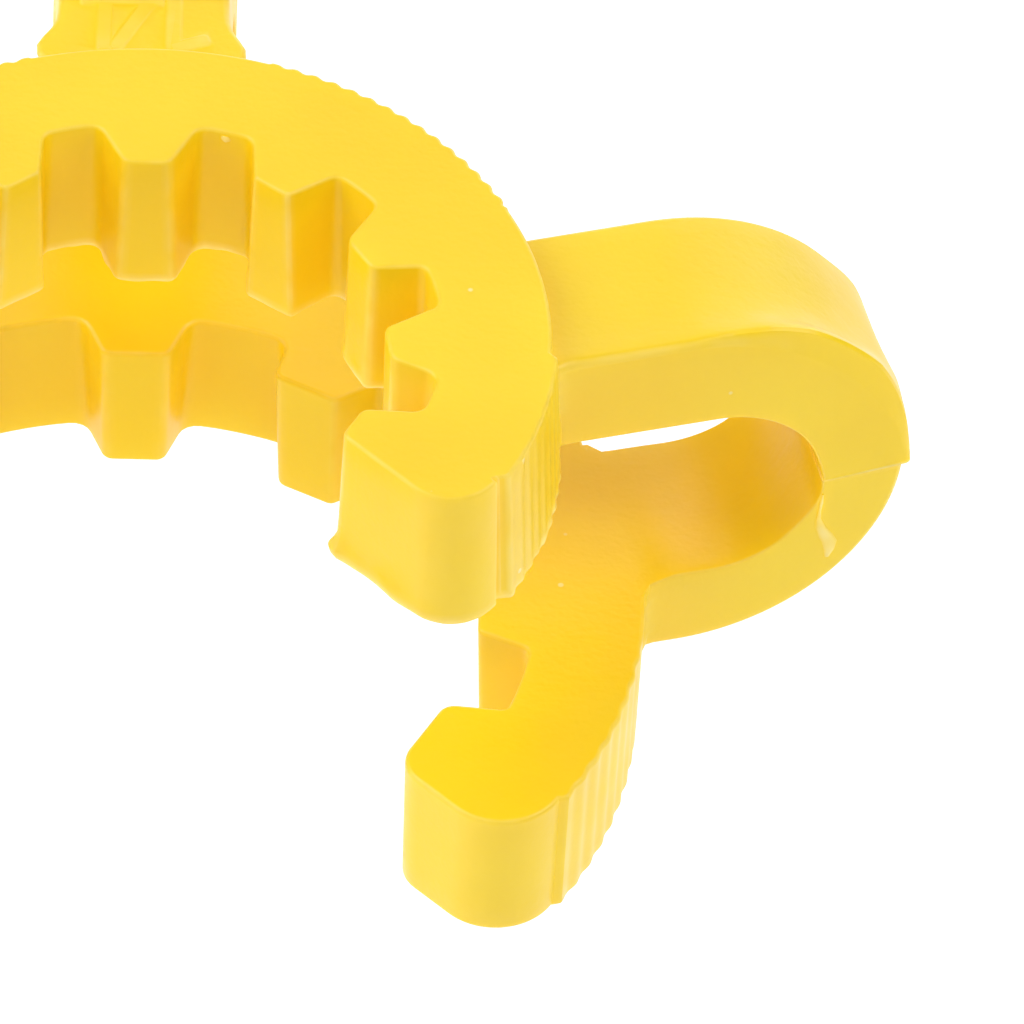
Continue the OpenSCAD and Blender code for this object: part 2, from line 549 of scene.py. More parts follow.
    def flash_lip(self, plan: Array, rng: np.random.Generator) -> Array:
        """Uneven flash along the wide edge.

        Args:
            plan: Points of the outline.
            rng: Source of the unevenness.

        Returns:
            How far it stands out at each point, in millimetres.
        """
        if not self.flash:
            return np.zeros(len(plan))
        blur_points = 9
        unevenness = 1.6
        noise = rng.normal(size=len(plan))
        kernel = np.hanning(blur_points)
        rough = np.convolve(np.tile(noise, 3), kernel / kernel.sum(), "same")[len(plan) : 2 * len(plan)]
        return np.clip(self.flash * (1 + unevenness * rough), 0, None)

    def bead_bulge(self, plan: Array) -> Array:
        """Beads of flash just above the wide edge.

        Args:
            plan: Points of the outline.

        Returns:
            How far they stand out at each point, in millimetres.
        """
        bulge = np.zeros(len(plan))
        for burr in self.burrs:
            near = np.hypot(plan[:, 0] - burr.x, plan[:, 1] - burr.y)
            bulge += burr.size * hump(near, 0, burr.spread)
        return bulge

    def stand_out(self, lip: Array, beads: Array, height: Array | float) -> Array:
        """How far the flash and its beads stand out at a height.

        Args:
            lip: The most that the flash stands out, at each point.
            beads: The most that the beads do.
            height: Height above the wide face, in millimetres.

        Returns:
            How far both together stand out at each point, in millimetres.
        """
        return lip * hump(height, *self.flash_band) + beads * hump(height, *self.burr_band)

    def loop(self, level: float, rise: Array, inset: Array, edge: Array) -> tuple[Array, Array]:
        """One loop of the ring's skin.

        Args:
            level: 0 at the wide face and 1 at the narrow one.
            rise: How far each point is off the level, away from the wide face.
            inset: How far each point is moved in from the outline.
            edge: How pale each point is painted, as a painted highlight and for flash, below 0 for none at
                all.

        Returns:
            The points, and how pale each is painted.
        """
        plan = self.outline(level)
        corner = convexity(plan)
        distance = np.linalg.norm(plan, axis=1, keepdims=True)
        # The knurled wall moves straight towards the axis, so that its grooves keep their form.
        # With its draft and grooves it lies within this margin of the rim's radius.
        margin = 0.3
        on_wall = distance > self.rim_r - margin
        on_wall &= plan[:, 1:] > self.rim_r * math.sin(math.radians(self.front_pad.front))
        plan = plan - np.where(on_wall, plan / distance, outward_normals(plan)) * inset[:, None]
        z = self.wide_z + self.half.value * (level * self.height + rise)
        points = np.column_stack([plan[:, 0] + self.shift_x, plan[:, 1], z])
        # Upright corners are painted pale as far as they turn outwards, a painted highlight
        return points, np.maximum(edge, self.corner_highlight * corner * (edge >= 0))

    def build(self) -> Solid:
        """Makes the ring's mesh.

        Returns:
            The ring, as a closed solid.
        """
        # Stations round each of the two rounded edges, and levels up the wall between them
        turns = np.radians([0, 20, 42, 65, 90])
        levels = (0.04, 0.08, 0.12, 0.17, 0.3, 0.55, 0.8)
        plan = self.outline(0)
        wide = self.edge_radii(plan)
        narrow = np.full(len(wide), self.edge_r)
        lip = self.flash_lip(plan, np.random.default_rng(7))
        beads = self.bead_bulge(plan)
        stack = []
        for turn in turns:
            rise = wide * (1 - math.cos(turn))
            # The wide edge is painted palest halfway round its rounding, for flash and as a painted
            # highlight. The last two stations count as wall too
            pale = max(self.wide_edge_flash_and_highlight * math.sin(2 * turn), self.wall_flash_and_highlight * (turn > 1))
            edge = wide / self.edge_r * pale - (turn == 0)
            inset = wide * (1 - math.sin(turn)) - self.stand_out(lip, beads, rise)
            stack.append(self.loop(0, rise, inset, edge))
        for level in levels:
            height = level * self.height
            # The wall just above the wide edge is painted pale, for flash and as a painted highlight
            edge = wide / self.edge_r * self.wall_flash_and_highlight * max(0, 1 - height / self.pale_wall)
            stack.append(self.loop(level, 0 * wide, -self.stand_out(lip, beads, height), edge))
        for turn in turns[::-1]:
            # The narrow edge is painted palest halfway round its rounding, a painted highlight
            edge = self.narrow_edge_highlight * np.sin(2 * turn) * np.ones(len(wide)) - (turn == 0)
            stack.append(self.loop(1, -narrow * (1 - math.cos(turn)), narrow * (1 - math.sin(turn)), edge))
        loops, rims = zip(*stack)
        return skin(self.name, np.array(loops), np.clip(rims, 0, 1))


@dataclass(frozen=True)
class RootLump:
    """Lump beside a bow's upper root: its side, size, distance from the axis and spread."""

    side: int
    size: float
    distance: float
    spread: float


@dataclass
class SpringBow:
    """Flat spring bow between the rings, made in two mould halves.

    Its side view is given by the distance from the axis and the height. The
    roots lie inside the rings' walls. The shifts are those of the mould's
    halves along X, which fade out at the tip with hold_tip. A lip is a swollen
    front edge of the upper half. Root lumps stand beside the upper strap, where
    it leaves its ring.
    """

    name: str
    angle: float
    upper_root: float
    lower_root: float
    upper_wall: float
    lower_wall: float
    upper_shift: float = 0
    lower_shift: float = 0
    hold_tip: bool = False
    lip: bool = False
    root_lumps: tuple[RootLump, ...] = ()
    inner_rise: float = 0
    parting_tilt: float = 0
    parting_ridge: float = 0.025
    top: float = 12.3
    bottom: float = 1.75
    window_top: float = 9.6
    window_bottom: float = 3.998
    tip: float = 19.75
    tip_t: float = 2.3
    crown: float = 13.85
    parting: float = 7.08
    half_w: float = 2.575
    draft: float = 2
    edge_r: float = 0.17
    inner_edge_r: float = 0.07
    fillet_r: float = 0.35
    # How pale the parting line is painted, a painted highlight on its ridge
    parting_highlight: float = 1.8

    def half_stations(self, mould: Half) -> tuple[Array, Array, Array]:
        """Stations along one half of the bow, from its root to the parting plane.

        Args:
            mould: Which half.

        Returns:
            Outer points and inner points, each as distance from the axis and
            height, and the outer arc's angle at each station, in degrees.
        """
        upper = mould is Half.UPPER
        root = self.upper_root if upper else self.lower_root
        height = self.top - self.parting if upper else self.parting - self.bottom
        run = self.tip - self.crown
        radius = (run**2 + height**2) / (2 * height)
        window_r = (self.window_top - self.window_bottom) / 2
        window_mid = (self.window_top + self.window_bottom) / 2
        window_x = self.tip - self.tip_t - window_r
        sign = mould.value
        crest = self.top if upper else self.bottom
        inner_crest = self.window_top if upper else self.window_bottom
        steps = 14 if upper else 8
        arc_steps = 40
        s = np.linspace(0, 1, steps, endpoint=False)
        outer = [np.column_stack([root + (self.crown - root) * s, np.full(steps, crest)])]
        inner = [np.column_stack([root + (window_x - root) * s, np.full(steps, inner_crest)])]
        # One station just short of the parting plane keeps the ridge on it narrow
        swing = np.insert(np.linspace(0, 1, arc_steps + 1), arc_steps, 0.992)
        low = math.asin((radius - height) / radius)
        turn = math.pi / 2 + (low - math.pi / 2) * swing
        centre_z = crest - sign * radius
        outer.append(np.column_stack([
            self.crown + radius * np.cos(turn), centre_z + sign * radius * np.sin(turn)
        ]))
        low_in = math.asin(sign * (self.parting - window_mid) / window_r)
        turn_in = math.pi / 2 + (low_in - math.pi / 2) * swing
        inner.append(np.column_stack([
            window_x + window_r * np.cos(turn_in), window_mid + sign * window_r * np.sin(turn_in)
        ]))
        phi = np.concatenate([np.full(steps, 90.0), np.degrees(turn)])
        return np.concatenate(outer), np.concatenate(inner), phi

    def section(self) -> tuple[Array, ...]:
        """Rounded section of the strap.

        Returns:
            For each point its share of the way in from the outer face, an
            addition to that in millimetres, its share of the way across, an
            addition to that in millimetres, and how pale its edge is painted, a
            painted highlight on the roundings.
        """
        r = self.edge_r
        q = self.inner_edge_r
        bend = np.radians([15, 35, 55, 75])
        near = np.array([0, 0.02, 0.045, 0.075, 0.11, 0.16, 0.24, 0.36, 0.5, 0.64, 0.76, 0.88])
        across = np.concatenate([2 * near - 1, [1.0]])
        wall = np.linspace(0, 1, 7)
        # Each rounded edge is painted palest halfway round, a painted highlight
        rims = 0.5 * np.sin(2 * bend)
        rows = [(0, 0, s, 0, 0) for s in across]
        rows += [(0, r - r * math.cos(b), 1, r * math.sin(b), e) for b, e in zip(bend, rims)]
        rows += [(f, r - (r + q) * f, 1, r, 0) for f in wall]
        rows += [(1, -q + q * math.sin(b), 1, r - q + q * math.cos(b), e) for b, e in zip(bend, rims)]
        rows += [(1, 0, s, (r - q) * s, 0) for s in (1, 0.7, 0.35, 0, -0.35, -0.6, -0.8, -0.88, -0.94, -1)]
        rows += [(1, -q + q * math.cos(b), -1, -r + q - q * math.sin(b), e) for b, e in zip(bend, rims)]
        rows += [(1 - f, -q + (r + q) * f, -1, -r, 0) for f in wall]
        rows += [(0, r - r * math.sin(b), -1, -r * math.cos(b), e) for b, e in zip(bend, rims)]
        return tuple(np.array(rows).T)

    def lip_rise(self, phi: Array, back: Array) -> Array:
        """Extra material on the upper half's outer face.

        Args:
            phi: Angle round the outer arc, 90 on top and 0 at the tip.
            back: Distance back from the front edge, in millimetres.

        Returns:
            How far the face stands out, in millimetres.
        """
        angles = [5, 12, 19, 26, 38, 60, 68, 77, 90]
        heights = [0, 0.07, 0.2, 0.35, 0.55, 0.55, 0.41, 0.18, 0.06]
        crest = np.interp(phi, angles, heights)
        # The ridge widens towards the tip, where a low swelling lies behind it
        spread = 0.7 + 1.6 * (1 - ease(phi, 18, 45))
        ridge = crest * np.exp(-((np.clip(back - 0.2, 0, None) / spread) ** 2))
        swell = 0.14 * ease(phi, 4, 14) * (1 - ease(phi, 20, 38)) * ease(back, 0.2, 1.5)
        return (ridge + swell) * ease(back, 0.0, 0.22)

    def place(self, rho: Array, z: Array, t: Array, shift: float) -> Array:
        """Turns the bow's own coordinates into points of the clip.

        Args:
            rho: Distance from the axis, along the bow.
            z: Height.
            t: Distance across the bow, from its middle.
            shift: Shift of the mould's half along X.

        Returns:
            The points, as x, y and z.
        """
        along = np.array(polar(1, self.angle))
        side = np.array(polar(1, self.angle + 90))
        x = rho * along[0] + t * side[0]
        y = rho * along[1] + t * side[1]
        if self.hold_tip:
            shift = shift * np.clip((x + self.tip) / 6, 0, 1)
        return np.stack([x + shift, y, z], axis=-1)

    def half_loops(self, mould: Half) -> tuple[Array, Array]:
        """Section loops along one half of the bow, from its root to the parting plane.

        Args:
            mould: Which half.

        Returns:
            The points, and how pale each is painted.
        """
        upper = mould is Half.UPPER
        outer, inner, phi = self.half_stations(mould)
        share, more, across, beyond, rim = self.section()
        thick = np.linalg.norm(outer - inner, axis=1)[:, None]
        v = share + more / thick
        if not upper:
            # The strap's inner face rises to its front edge, between the ring and the tip
            short_of_tip = ease(phi, 8, 50)
            past_ring = ease(inner[:, 0], 12.9, 13.8)
            raised = short_of_tip * past_ring
            v = v + self.inner_rise / thick * share**3 * ease(-across, -0.7, 1) * raised[:, None]
        rho = outer[:, :1] + (inner[:, :1] - outer[:, :1]) * v
        z = outer[:, 1:] + (inner[:, 1:] - outer[:, 1:]) * v
        # The parting line drops towards the inner face
        z = z - self.parting_tilt * v * (1 - ease(phi, phi[-1], phi[-1] + 32))[:, None]
        half = self.half_w - np.abs(z - self.parting) * math.tan(math.radians(self.draft))
        shift = self.upper_shift if upper else self.lower_shift
        if self.lip and not upper:
            # The shift fades inwards, and the front faces of both halves are flush
            shift = shift * (1 - 0.8 * v * ease(rho, 13.5, 16.5))
            half = half - shift * math.sin(math.radians(self.angle))
        half[-1] += self.parting_ridge
        # Fillet where the strap leaves the ring's wall
        wall = self.upper_wall if upper else self.lower_wall
        gap = np.clip(rho - wall, 0, self.fillet_r)
        half = half + self.fillet_r - np.sqrt(self.fillet_r**2 - (self.fillet_r - gap) ** 2)
        if self.root_lumps and upper:
            # The lumps are highest at the strap's top face
            high = hump(z, self.top, 0.9)
            stand = sum(
                lump.size * hump(rho, lump.distance, lump.spread) * (across * lump.side > 0)
                for lump in self.root_lumps
            )
            half = half + high * stand * np.abs(across)
        t = across * (half - self.edge_r) + beyond
        sharp = np.tile(rim, (len(phi), 1))
        if self.lip and upper:
            # The outer face swells, but not past the tip, and its front edge has no painted highlight there
            outer_face = v < 0.25
            rise = self.lip_rise(phi[:, None], t + half) * outer_face
            rho = rho + rise * np.cos(np.radians(phi))[:, None]
            z = z + rise * np.sin(np.radians(phi))[:, None]
            rho = np.minimum(rho, self.tip - 0.01)
            sharp *= np.where(outer_face & (across < 0), ease(phi, 55, 88)[:, None], 1)
        # The parting line is painted pale, a painted highlight on its ridge
        sharp[-1] = self.parting_highlight
        return self.place(rho, z, t, shift), sharp

    def build(self) -> Solid:
        """Makes the bow's mesh, with the fine ridge where the mould's halves meet.

        Returns:
            The bow, as a closed solid.
        """
        upper, upper_rim = self.half_loops(Half.UPPER)
        lower, lower_rim = self.half_loops(Half.LOWER)
        rim = np.concatenate([upper_rim, lower_rim[::-1]])
        return skin(self.name, np.concatenate([upper, lower[::-1]]), rim)


@dataclass
class SizeNumber:
    """Plain raised number on the back bow, 14, read from behind.

    Each stroke is given by the two ends of its middle line in plan.
    """

    strokes: tuple[tuple[float, float, float, float], ...] = (
        (0.56, 11.80, 0.56, 13.87),
        (0.66, 11.73, 1.30, 11.98),
        (-1.21, 11.78, -1.21, 13.87),
        (-0.86, 11.80, -0.08, 13.36),
        (-1.66, 13.41, 0.12, 13.41),
    )
    width: float = 0.4
    corner_r: float = 0.12
    rise: float = 0.045
    face_z: float = 12.3

    def stroke(self, ends: tuple[float, float, float, float], step: int) -> Solid:
        """Makes one stroke, standing on the strap and sunk a little into it.

        Args:
            ends: The two ends of the stroke's middle line, as x, y and x, y.
            step: Number of the stroke. Each stands a micrometre higher than the
                one before, so that no two of their faces coincide.

        Returns:
            The stroke, as a closed solid.
        """
        start, stop = Vector(ends[:2]), Vector(ends[2:])
        along = (stop - start).normalized()
        aside = Vector((-along.y, along.x))
        # For each loop its share of the rise, how far it stands out, and how pale its edge is painted, a
        # painted highlight on the top edges.
        # The first loop's height isn't a share: it lies that far below the strap's face.
        profile = [(-0.1, 0.04, 0), (0, 0.04, 0), (0.5, 0, 0.25), (0.85, -0.03, 0.45), (1, -0.08, 0.35)]
        loops = []
        rims = []
        for height, out, rim in profile:
            r = self.corner_r + out
            reach = self.width / 2 - self.corner_r
            loop = []
            for end, way, first in ((stop, 1, 0), (start, -1, 180)):
                for corner, turn in ((-1, first - 90), (1, first)):
                    centre = end + along * way * reach + aside * corner * way * reach
                    for k in range(5):
                        x, y = polar(r, turn + 22.5 * k)
                        loop.append(centre + along * x + aside * y)
            full = self.rise + 0.001 * step if height >= 0 else 1
            level = self.face_z + full * height
            loops.append([(p.x, p.y, level) for p in loop])
            rims.append([rim] * len(loop))
        return skin(f"size_number_{step}", np.array(loops), np.array(rims, float))

    def build(self) -> list[Solid]:
        """Makes the meshes of all the strokes."""
        return [self.stroke(ends, step) for step, ends in enumerate(self.strokes)]


@dataclass(frozen=True)
class FlashMark:
    """Thin, uneven line of flash, or a fleck, on an upright face.

    The face runs through the origin at a bearing in plan, and leans out by its
    tilt for each millimetre up. Each point of the line is its distance along
    the face, its height above the origin, and its half width.
    """

    name: str
    origin: tuple[float, float, float]
    bearing: float
    tilt: float
    line: tuple[tuple[float, float, float], ...]
    stand: float = 0.04

    def build(self) -> Solid:
        """Makes the mark's mesh, sunk a little into the face.

        Returns:
            The mark, as a closed solid.
        """
        # Share of the half width, share of the stand, and how pale it is painted
        section = [
            (-1, 0, 0.3), (-0.6, 0.7, 1.4), (0, 1, 1.6), (0.6, 0.7, 1.4), (1, 0, 0.3),
            (1, -1.5, 0), (-1, -1.5, 0),
        ]
        along = Vector((*polar(1, self.bearing), 0))
        out = Vector((along.y, -along.x, 0))
        loops = []
        for where, height, half in self.line:
            middle = Vector(self.origin) + along * where + out * self.tilt * height + Vector((0, 0, height))
            loops.append([tuple(middle + along * half * a + out * self.stand * o) for a, o, _ in section])
        rims = [[rim for _, _, rim in section]] * len(loops)
        return skin(self.name, np.array(loops), np.array(rims, float))


# Finishes


def linear(code: str) -> tuple[float, float, float, float]:
    """Linear colour of an sRGB hex code."""
    parts = [int(code[i : i + 2], 16) / 255 for i in (1, 3, 5)]
    return (*[p / 12.92 if p <= 0.04045 else ((p + 0.055) / 1.055) ** 2.4 for p in parts], 1.0)


def add_node(tree: Tree, kind: str, inputs: dict[int | str, Any], **settings: Any) -> bpy.types.Node:
    """Adds a shader node.

    Args:
        tree: Node tree of the material or the world.
        kind: Type name of the node, without its ShaderNode.
        inputs: Value, or socket to link, for each input by name or number.
        settings: Properties of the node.

    Returns:
        The new node.
    """
    node = tree.nodes.new("ShaderNode" + kind)
    for key, value in settings.items():
        setattr(node, key, value)
    for key, value in inputs.items():
        if isinstance(value, bpy.types.NodeSocket):
            tree.links.new(value, node.inputs[key])
        else:
            node.inputs[key].default_value = value
    return node


@dataclass(frozen=True)
class MouldedAcetal:
    """Yellow acetal, injection moulded.

    Its satin face gives a soft, broad sheen. Some light goes in and out again
    close by, so it looks waxy, and its shaded walls stay warm. Edges that flash
    and wear have left rough show as pale lines, which on rounded edges and
    corners are also a painted highlight. The walls between the teeth mirror less
    than the rest, a painted shade of the reflection in those recesses. Sizes of
    patterns are in millimetres.
    """

    pale: str = "#FBD81E"
    deep: str = "#F9D013"
    # Pale of flash and wear on edges, and of the painted highlight on rounded edges and corners
    wear_and_highlight: str = "#FFE88C"
    speck: str = "#FFF3B8"
    roughness: float = 0.35
    # Close to the index of acetal, which is 1.48
    ior: float = 1.5
    shine: float = 0.5
    # Mirroring on the toothed walls inside the rings, weaker as a painted shade in those recesses
    bore_shaded_shine: float = 0.22
    # For the toothed wall of each ring: its middle height, half its height and its reach
    bores: tuple[tuple[float, float, float], ...] = ((11.45, 2.11, 8.1), (2.0, 1.96, 10.6))
    # Where the toothed walls end, towards the mouth
    bore_front: float = -3.2
    # How far red, green and blue light travel inside, as shares of the depth
    travel: tuple[float, float, float] = (1.0, 0.8, 0.25)
    depth: float = 0.5
    cloud_size: float = 5
    wear_size: float = 0.9
    sheen_size: float = 1.5
    speck_spacing: float = 2.6
    sink_size: float = 2.5
    # Drawn lines and grain are finer on a real mould, and are made this coarse so that they show
    line_size: float = 0.35
    grain_size: float = 0.16

    def make(self) -> bpy.types.Material:
        """Makes the material.

        Returns:
            The material, with all its patterns on object coordinates.
        """
        material = bpy.data.materials.new("moulded_acetal_yellow")
        material.use_nodes = True
        tree = material.node_tree
        tree.nodes.clear()
        place = add_node(tree, "TexCoord", {}).outputs["Object"]
        shader = add_node(tree, "BsdfPrincipled", {
            "Base Color": self.colour(tree, place),
            "Roughness": self.sheen(tree, place),
            "IOR": self.ior,
            "Specular IOR Level": self.shine_with_painted_shade(tree, place),
            "Subsurface Weight": 0.4,
            "Subsurface Radius": self.travel,
            "Subsurface Scale": self.depth * MM,
            "Normal": self.surface(tree, place),
        }, subsurface_method="BURLEY")
        add_node(tree, "OutputMaterial", {"Surface": shader.outputs["BSDF"]})
        return material

    def noise(self, tree: Tree, place: Socket, size: float, low: float, high: float) -> Socket:
        """Soft noise.

        Args:
            tree: Node tree of the material.
            place: Object coordinates.
            size: Size of its patches, in millimetres.
            low: Its lowest value.
            high: Its highest value.

        Returns:
            The socket of the noise.
        """
        cloud = add_node(tree, "TexNoise", {"Vector": place, "Scale": 1 / (size * MM), "Detail": 1})
        # Nearly all of the noise lies between 0.3 and 0.7
        return add_node(tree, "MapRange", {
            "Value": cloud.outputs["Fac"], "From Min": 0.3, "From Max": 0.7, "To Min": low, "To Max": high,
        }).outputs["Result"]

    def colour(self, tree: Tree, place: Socket) -> Socket:
        """Yellow that clouds a little, is painted paler along the edges, for flash and wear and as a
        painted highlight, and holds a few pale specks.

        Args:
            tree: Node tree of the material.
            place: Object coordinates.

        Returns:
            The socket of the colour.
        """
        cloud = self.noise(tree, place, self.cloud_size, 0, 1)
        rim = add_node(tree, "Attribute", {}, attribute_name=RIM).outputs["Fac"]
        thin = self.noise(tree, place, self.wear_size, 0.25, 0.75)
        # Pale edges, for flash and wear and as a painted highlight, broken up by the noise
        line = add_node(tree, "Math", {0: rim, 1: thin}, operation="MULTIPLY").outputs[0]
        cells = add_node(tree, "TexVoronoi", {"Vector": place, "Scale": 1 / (self.speck_spacing * MM)})
        # A speck's radius and its soft edge are shares of the spacing
        dot = add_node(tree, "MapRange", {
            "Value": cells.outputs["Distance"],
            "From Min": 0.022, "From Max": 0.035, "To Min": 0.6, "To Max": 0,
        }).outputs["Result"]
        tint = linear(self.deep)
        for share, over in ((cloud, self.pale), (line, self.wear_and_highlight), (dot, self.speck)):
            layer = add_node(tree, "Mix", {0: share, 6: tint, 7: linear(over)}, data_type="RGBA")
            tint = layer.outputs[2]
        return tint

    def shine_with_painted_shade(self, tree: Tree, place: Socket) -> Socket:
        """Strength of the mirroring, which is weaker on the toothed walls inside both rings, a painted
        shade of the reflection in those recesses.

        Args:
            tree: Node tree of the material.
            place: Object coordinates.

        Returns:
            The socket of the strength.
        """
        axes = add_node(tree, "SeparateXYZ", {"Vector": place}).outputs
        flat = add_node(tree, "VectorMath", {0: place, 1: (1, 1, 0)}, operation="MULTIPLY").outputs[0]
        radius = add_node(tree, "VectorMath", {0: flat}, operation="LENGTH").outputs["Value"]
        front = {0: axes["Y"], 1: self.bore_front * MM}
        behind = add_node(tree, "Math", front, operation="GREATER_THAN").outputs[0]
        bands = {}
        for ring, (middle, half, reach) in enumerate(self.bores):
            level = {0: axes["Z"], 1: middle * MM, 2: half * MM}
            tests = {
                0: add_node(tree, "Math", level, operation="COMPARE").outputs[0],
                1: add_node(tree, "Math", {0: radius, 1: reach * MM}, operation="LESS_THAN").outputs[0],
            }
            bands[ring] = add_node(tree, "Math", tests, operation="MULTIPLY").outputs[0]
        either = add_node(tree, "Math", bands, operation="ADD").outputs[0]
        share = add_node(tree, "Math", {0: either, 1: behind}, operation="MULTIPLY").outputs[0]
        span = {"Value": share, "To Min": self.shine, "To Max": self.bore_shaded_shine}
        return add_node(tree, "MapRange", span).outputs["Result"]

    def sheen(self, tree: Tree, place: Socket) -> Socket:
        """Roughness that wanders a little, as the mould's face does."""
        return self.noise(tree, place, self.sheen_size, self.roughness - 0.05, self.roughness + 0.05)

    def surface(self, tree: Tree, place: Socket) -> Socket:
        """Sink marks, drawn lines and the grain of the mould's face.

        Args:
            tree: Node tree of the material.
            place: Object coordinates.

        Returns:
            The socket of the normal.
        """
        drawn = add_node(tree, "Mapping", {"Vector": place, "Scale": (1, 1, 0.08)}).outputs["Vector"]
        normal = None
        # For each layer its coordinates, size, height in millimetres and strength
        for where, size, height, strength in (
            (place, self.sink_size, 0.05, 0.6),
            (drawn, self.line_size, 0.012, 0.7),
            (place, self.grain_size, 0.01, 0.6),
        ):
            relief = add_node(tree, "TexNoise", {"Vector": where, "Scale": 1 / (size * MM), "Detail": 1})
            inputs = {"Height": relief.outputs["Fac"], "Distance": height * MM, "Strength": strength}
            if normal is not None:
                inputs["Normal"] = normal
            normal = add_node(tree, "Bump", inputs).outputs["Normal"]
        return normal


@dataclass
class Clip:
    """The whole moulding: two rings, three bows, the number and what flash is left.

    The lower half of the mould sits off along X by the parting shift. The side
    bows lie behind the X axis by the bow angle.
    """

    parting_shift: float = -0.215
    bow_angle: float = 15

    def rings(self) -> list[GripRing]:
        """The two rings.

        Returns:
            The upper one, then the lower one.
        """
        upper = GripRing(
            name="upper_ring", half=Half.UPPER, wide_z=9.3, height=4.3,
            grip_r=6.25, notch_r=7.62, rim_r=10.55, mouth_half=5.15, lug_r=1.35, nose_r=0.3,
            end_grip_r=6.17, root_angle=9.6, end_root_angle=-19.8, end_tip_angle=-24.2,
            end_root_r=0.38, end_tip_r=0.3,
            teeth=(
                Tooth(0, (6.33, -0.72, 0.35), (6.12, 0.42, 0.3), 0.45, 0.3),
                Tooth(30, (6.27, -0.69, 0.25), (6.21, 0.52, 0.4), 0.3, 0.3, lean=(-0.12, 0.12)),
                Tooth(60, (6.2, -0.57, 0.18), (6.31, 0.5, 0.2), 0.3, 0.36),
                Tooth(90, (6.18, -0.59, 0.28), (6.18, 0.59, 0.28), 0.4, 0.4),
            ),
            tooth_draft=0.16, mouth_draft=0.1,
            front_pad=Pad(
                front=-28.2, back=-2.0, rise=0.18, knurl_front=-27, knurl_back=-3, pitch=3, crest=0,
                depth=0.03, ramp=1.0, fade=0.7, valley=0.15,
            ),
            back_pad=Pad(
                front=27.5, back=73, rise=0.06, knurl_front=28, knurl_back=73, pitch=3, crest=0,
                depth=0.08,
            ),
            flash=0.035, wall_flash_and_highlight=1.2,
            burrs=(
                Burr(5.0, -3.5, 0.24, 0.33),
                Burr(5.5, -4.1, 0.06, 0.3),
                Burr(6.5, -4.95, 0.12, 0.6),
                Burr(7.4, -5.7, 0.07, 0.5),
                Burr(2.35, 6.2, 0.12, 0.25),
                Burr(4.85, 3.85, 0.16, 0.25),
                Burr(5.35, 2.9, 0.07, 0.2),
            ),
        )
        lower = GripRing(
            name="lower_ring", half=Half.LOWER, wide_z=4.0, height=4.0,
            grip_r=9.0, notch_r=10.36, rim_r=13.0, mouth_half=6.95, lug_r=1.65, nose_r=1.0,
            end_grip_r=8.83, root_angle=7.74, end_root_angle=-20.3, end_tip_angle=-23.0,
            end_root_r=0.2, end_tip_r=0.45,
            teeth=(
                Tooth(0, (8.93, -0.72, 0.2), (8.93, 0.68, 0.2), 0.3, 0.3),
                Tooth(30, (9.0, -0.72, 0.2), (9.0, 0.72, 0.2), 0.3, 0.3),
                Tooth(60, (9.02, -0.62, 0.25), (8.96, 1.0, 0.3), 0.35, 0.5),
                Tooth(90, (8.97, -0.76, 0.3), (8.97, 0.76, 0.3), 0.5, 0.5),
            ),
            tooth_draft=0.095, tip_draft=0.1, notch_draft=0.12, root_taper=0.65,
            wide_edge_flash_and_highlight=0.4, narrow_edge_highlight=0.4, corner_highlight=0.25,
            front_pad=Pad(
                front=-31.4, back=4, rise=0.18, knurl_front=-31, knurl_back=-3.5, pitch=3.4,
                crest=-30.5, depth=0.055, ramp=0.8,
            ),
            back_pad=Pad(
                front=27.5, back=73, rise=0.06, knurl_front=28, knurl_back=73, pitch=3.4,
                crest=28.5, depth=0.055,
            ),
            strap_angles=(self.bow_angle, 90, 180 - self.bow_angle), strap_half=2.5,
            shift_x=self.parting_shift,
        )
        return [upper, lower]

    def bows(self) -> list[SpringBow]:
        """The three bows.

        Returns:
            The right one, the back one and the left one.
        """
        roots = {"upper_root": 9.75, "lower_root": 12.2, "upper_wall": 10.22, "lower_wall": 12.85}
        shift = self.parting_shift
        return [
            SpringBow(
                name="right_bow", angle=self.bow_angle, lower_shift=shift, lip=True, inner_rise=0.26,
                parting_tilt=0.2, tip=19.69, **roots,
            ),
            SpringBow(
                name="back_bow", angle=90, half_w=2.37, upper_shift=shift, lower_shift=shift,
                parting_ridge=0, **roots,
                root_lumps=(
                    RootLump(side=1, size=0.56, distance=11.7, spread=0.7),
                    RootLump(side=-1, size=0.49, distance=11.65, spread=0.68),
                ),
            ),
            SpringBow(
                name="left_bow", angle=180 - self.bow_angle, lower_shift=shift, hold_tip=True, **roots,
            ),
        ]

    def marks(self) -> list[FlashMark]:
        """What flash is left on upright faces.

        Returns:
            A line on the right bow's front, and flecks on a rim and in a notch.
        """
        # The bow's flash is placed from a point just off its front face, at its parting line
        front, parting = 2.595, 7.08
        face = (*polar(front, self.bow_angle - 90), parting)
        return [
            # Low down the line widens into a broad pale patch
            FlashMark("bow_flash", face, self.bow_angle, 0.035, (
                (17.37, -0.7, 0.02), (17.34, -1.0, 0.05), (17.3, -1.3, 0.04), (17.28, -1.6, 0.07),
                (17.36, -1.95, 0.13), (17.5, -2.25, 0.19), (17.6, -2.5, 0.2), (17.6, -2.8, 0.13),
                (17.55, -3.02, 0.06),
            )),
            FlashMark("rim_fleck", (*polar(10.55, -23), 13.4), 67, 0, (
                (0, -0.1, 0.05), (0, -0.03, 0.13), (0.01, 0.04, 0.14), (0, 0.1, 0.07),
            )),
            FlashMark("notch_fleck", (*polar(7.62, 75), 13.36), -15, 0, (
                (0, -0.1, 0.06), (0.01, -0.04, 0.14), (0, 0.02, 0.15), (-0.01, 0.08, 0.08),
            )),
        ]

